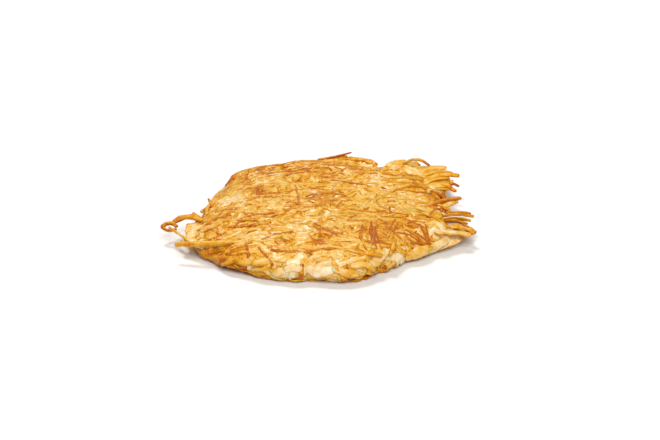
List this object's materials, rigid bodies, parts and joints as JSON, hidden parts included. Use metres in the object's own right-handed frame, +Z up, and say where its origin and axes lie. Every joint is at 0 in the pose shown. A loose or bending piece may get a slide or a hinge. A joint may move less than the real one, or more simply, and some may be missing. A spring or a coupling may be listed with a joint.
{
  "type": "hash browns",
  "caption": "Pan-fried patty of shredded potato, flat underneath, with a low domed top of crossing golden shreds, lumpy pale sides and browned strays round a ragged edge.",
  "frame": {"origin": "middle of the patty's box, on the plane it rests on", "axes": "+X along the longer way across, towards the end with the spread shreds; +Y from the low front side, which droops, towards the back; +Z up"},
  "size_m": [0.1944, 0.175, 0.0194],
  "materials": {
    "fried_potato": "oily, golden brown, unevenly browned"
  },
  "bodies": {
    "root": {"hash_browns": "fried_potato"}
  },
  "joints": []
}
